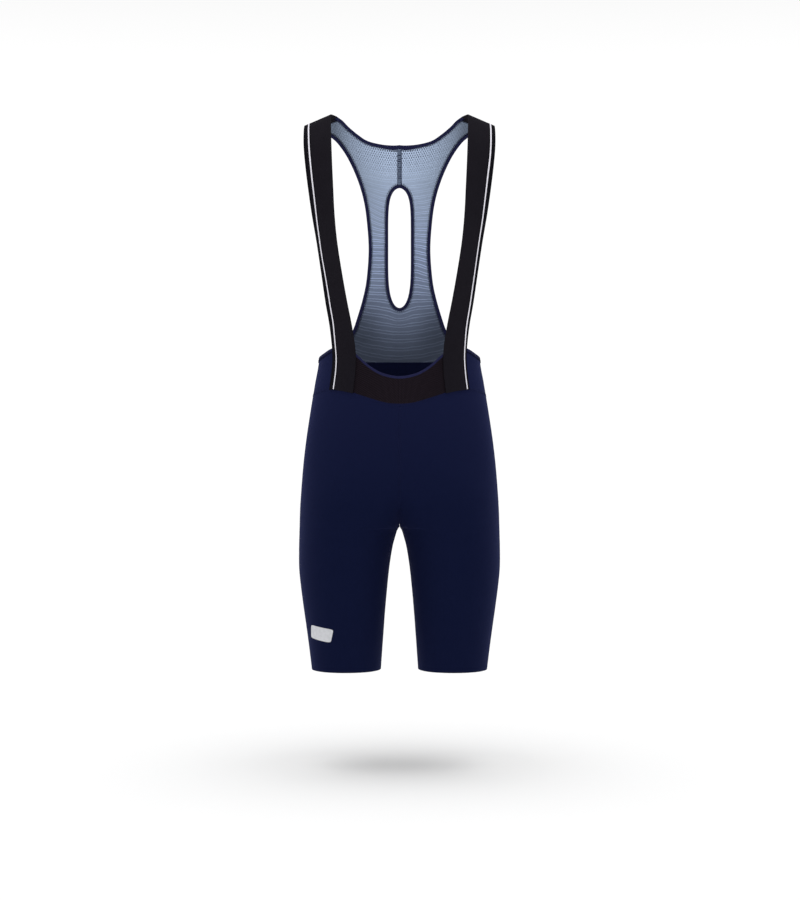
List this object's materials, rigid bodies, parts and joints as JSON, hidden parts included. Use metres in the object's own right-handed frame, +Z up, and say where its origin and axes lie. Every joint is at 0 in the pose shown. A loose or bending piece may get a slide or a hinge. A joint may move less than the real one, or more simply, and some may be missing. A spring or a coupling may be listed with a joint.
{
  "type": "cycling bib shorts",
  "caption": "Close-fitting cycling bib shorts, hollow as worn, with elastic shoulder straps, a low mesh front waist and a ribbed mesh back with a long central slot.",
  "frame": {"origin": "midway between the crests of the shoulder straps, level with the underside of the straps, where the wearer's shoulders hold the garment up", "axes": "+Z up, -Y the front, +X the wearer's left"},
  "size_m": [0.3206, 0.2324, 0.8869],
  "materials": {
    "navy_knit": "dense smooth stretch knit with a slight sheen",
    "black_mesh": "fine matt stretch mesh",
    "strap_elastic": "matt woven elastic with a pale reflective line near its outer edge",
    "pale_mesh": "open ribbed mesh, pale blue grey",
    "navy_binding": "folded stretch binding with a slight sheen",
    "seam_tape": "narrow flat tape"
  },
  "bodies": {
    "root": {"leg_panel_left": "navy_knit", "leg_panel_right": "navy_knit", "waist_front_panel": "black_mesh", "waist_yoke": "navy_knit", "back_mesh_panel": "pale_mesh", "neck_binding_back": "navy_binding", "neck_binding_front": "navy_binding", "armhole_binding_left": "navy_binding", "armhole_binding_right": "navy_binding", "slot_binding": "navy_binding", "back_seam_tape": "seam_tape", "strap_left": "strap_elastic", "strap_right": "strap_elastic"}
  },
  "joints": []
}
